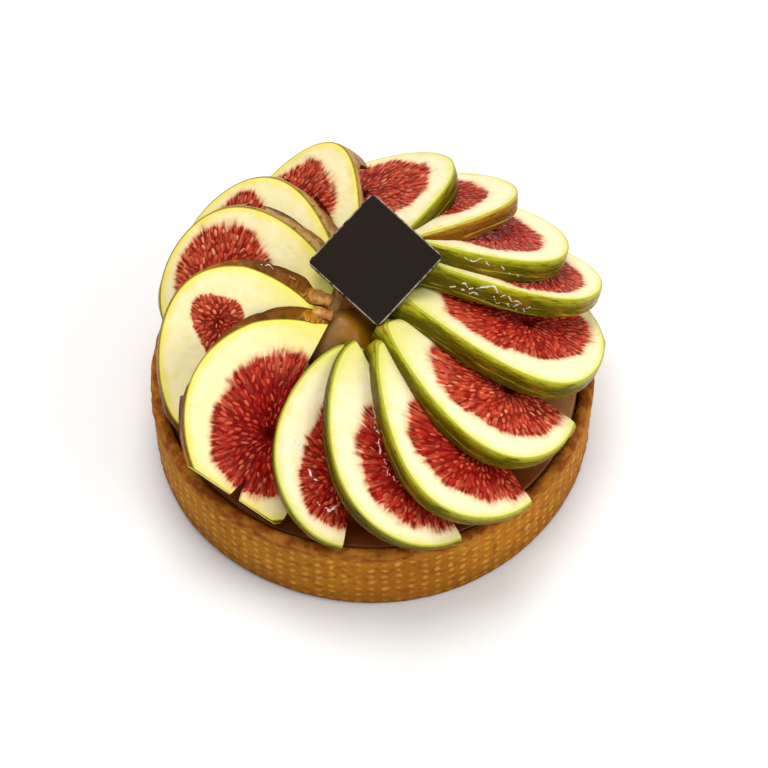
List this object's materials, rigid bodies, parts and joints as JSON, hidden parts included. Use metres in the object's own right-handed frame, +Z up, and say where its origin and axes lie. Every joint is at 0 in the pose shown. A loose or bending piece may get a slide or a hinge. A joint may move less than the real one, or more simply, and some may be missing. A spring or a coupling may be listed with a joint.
{
  "type": "fig tart",
  "caption": "Round pastry case with a glazed filling, overlapping fig slices fanned over the top and a square chocolate plaque leaning on their stems.",
  "frame": {"origin": "centre of the flat base, on the table", "axes": "+Z up, -Y the front that the picture shows, +X to its right"},
  "size_m": [0.1025, 0.1031, 0.0533],
  "materials": {
    "pastry": "baked, matt, woven imprint",
    "filling": "glazed, glossy",
    "fig": "fresh cut fruit under a clear glaze",
    "chocolate": "smooth, matt, bare"
  },
  "bodies": {
    "root": {"pastry_case": "pastry", "filling": "filling", "fig_slice_01": "fig", "fig_slice_02": "fig", "fig_slice_03": "fig", "fig_slice_04": "fig", "fig_slice_05": "fig", "fig_slice_06": "fig", "fig_slice_07": "fig", "fig_slice_08": "fig", "fig_slice_09": "fig", "fig_slice_10": "fig", "fig_slice_11": "fig", "fig_slice_12": "fig", "fig_slice_13": "fig", "fig_slice_14": "fig", "plaque": "chocolate"}
  },
  "joints": []
}
